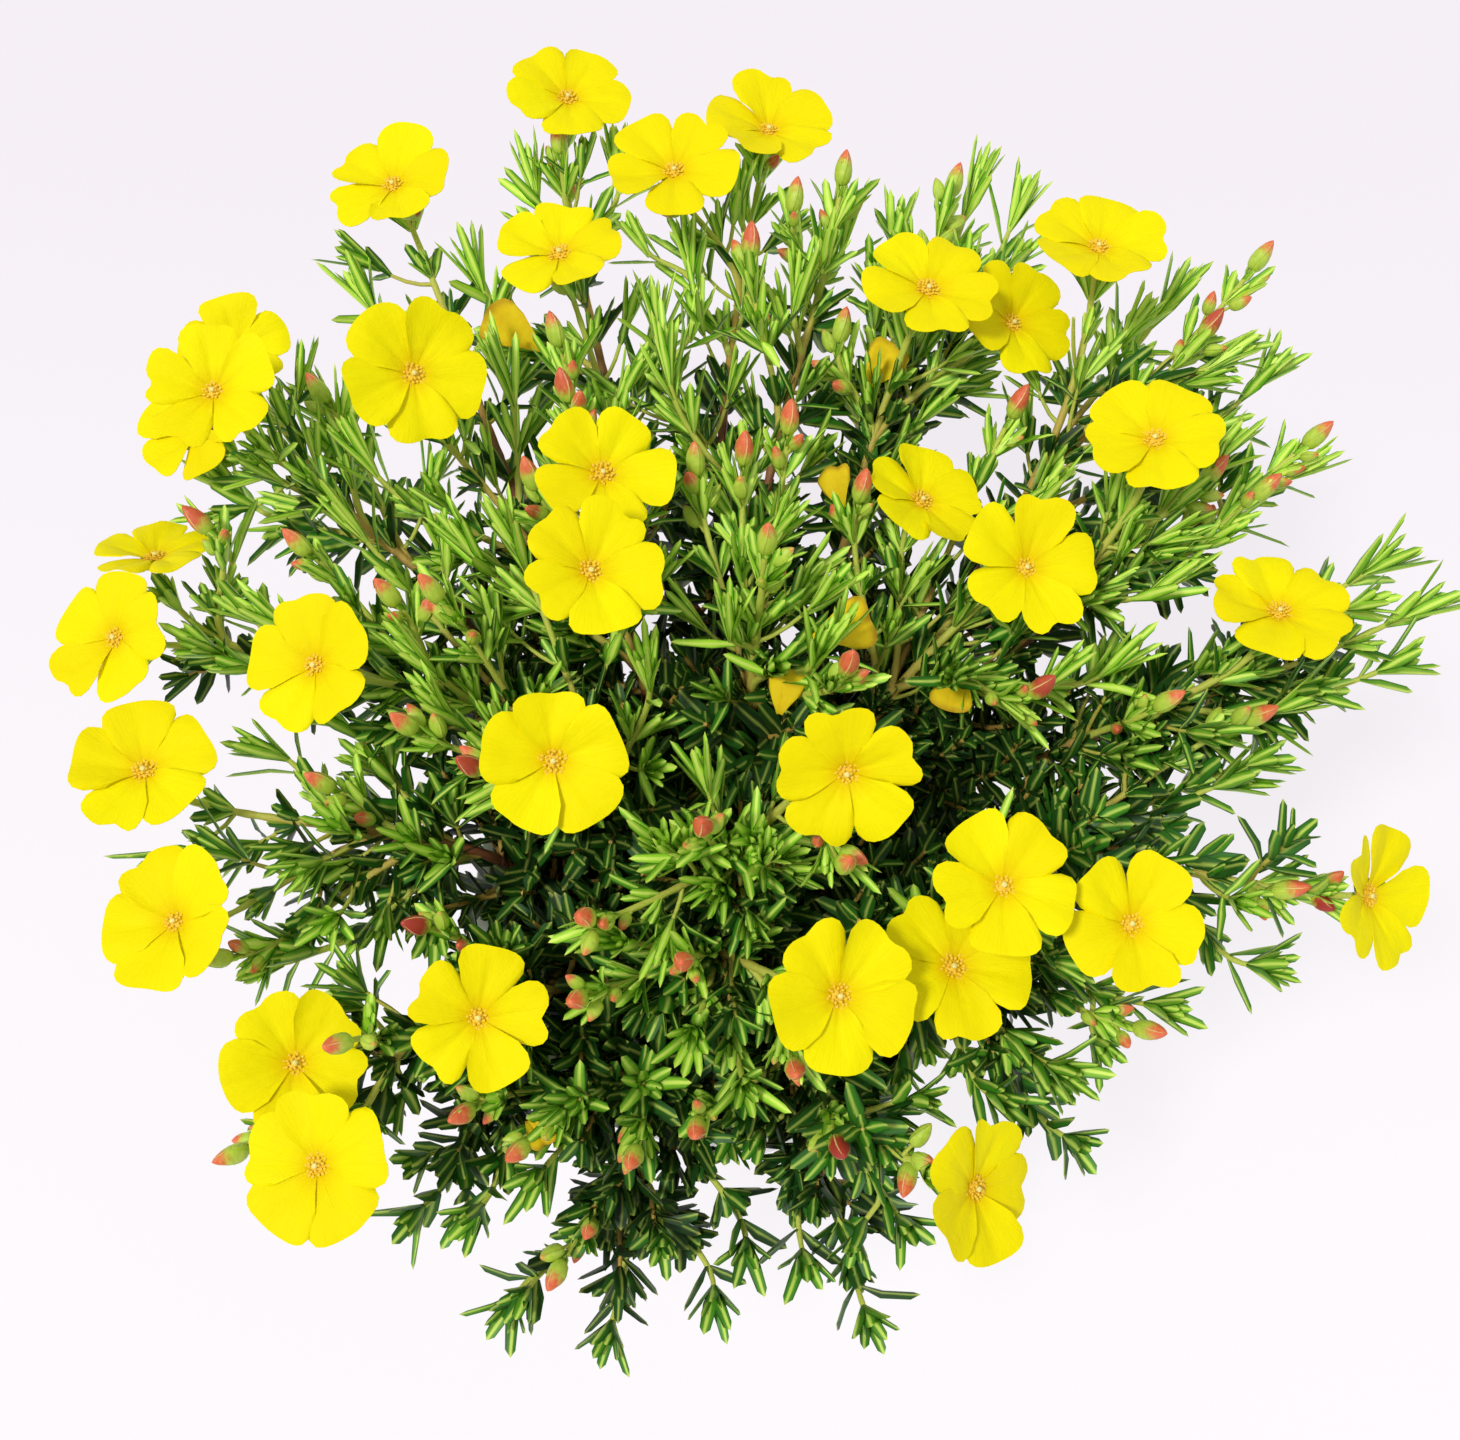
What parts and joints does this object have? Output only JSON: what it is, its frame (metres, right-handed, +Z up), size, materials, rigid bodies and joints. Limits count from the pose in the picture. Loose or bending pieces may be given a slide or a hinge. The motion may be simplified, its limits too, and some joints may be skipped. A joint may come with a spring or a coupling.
{
  "type": "potted flowering shrub",
  "caption": "Low bushy evergreen shrub with narrow opposite leaves, red buds and yellow saucer flowers, standing in compost in a plain round pot.",
  "frame": {"origin": "middle of the flat underside of the pot, on the surface it stands on", "axes": "+Z up, -Y towards the side nearest in the picture, +X to the right in it"},
  "size_m": [0.3919, 0.3763, 0.2537],
  "materials": {
    "pot": "satin moulded",
    "soil": "moist fibrous compost",
    "bark": "thin flaking bark",
    "leaf": "semi-gloss leaf",
    "petal": "soft crinkled petal"
  },
  "bodies": {
    "root": {"bloom_01": "petal", "bloom_02": "petal", "bloom_03": "petal", "bloom_04": "petal", "bloom_05": "petal", "bloom_06": "petal", "bloom_07": "petal", "bloom_08": "petal", "bloom_09": "petal", "bloom_10": "petal", "bloom_11": "petal", "bloom_12": "petal", "bloom_13": "petal", "bloom_14": "petal", "bloom_15": "petal", "bloom_16": "petal", "bloom_17": "petal", "bloom_18": "petal", "bloom_19": "petal", "bloom_20": "petal", "bloom_21": "petal", "bloom_22": "petal", "bloom_23": "petal", "bloom_24": "petal", "bloom_25": "petal", "bloom_26": "petal", "bloom_27": "petal", "bloom_28": "petal", "bloom_29": "petal", "bloom_30": "petal", "bloom_31": "petal", "bloom_32": "petal", "bloom_33": "petal", "bloom_34": "petal", "leafy_spray_01": "leaf", "leafy_spray_02": "leaf", "leafy_spray_03": "leaf", "leafy_spray_04": "leaf", "leafy_spray_05": "leaf", "leafy_spray_06": "leaf", "leafy_spray_07": "leaf", "leafy_spray_08": "leaf", "leafy_spray_09": "leaf", "leafy_spray_10": "leaf", "leafy_spray_11": "leaf", "leafy_spray_12": "leaf", "leafy_spray_13": "leaf", "leafy_spray_14": "leaf", "leafy_spray_15": "leaf", "leafy_spray_16": "leaf", "leafy_spray_17": "leaf", "leafy_spray_18": "leaf", "leafy_spray_19": "leaf", "leafy_spray_20": "leaf", "leafy_spray_21": "leaf", "leafy_spray_22": "leaf", "leafy_spray_23": "leaf", "pot": "pot", "soil": "soil", "woody_stems": "bark"}
  },
  "joints": []
}
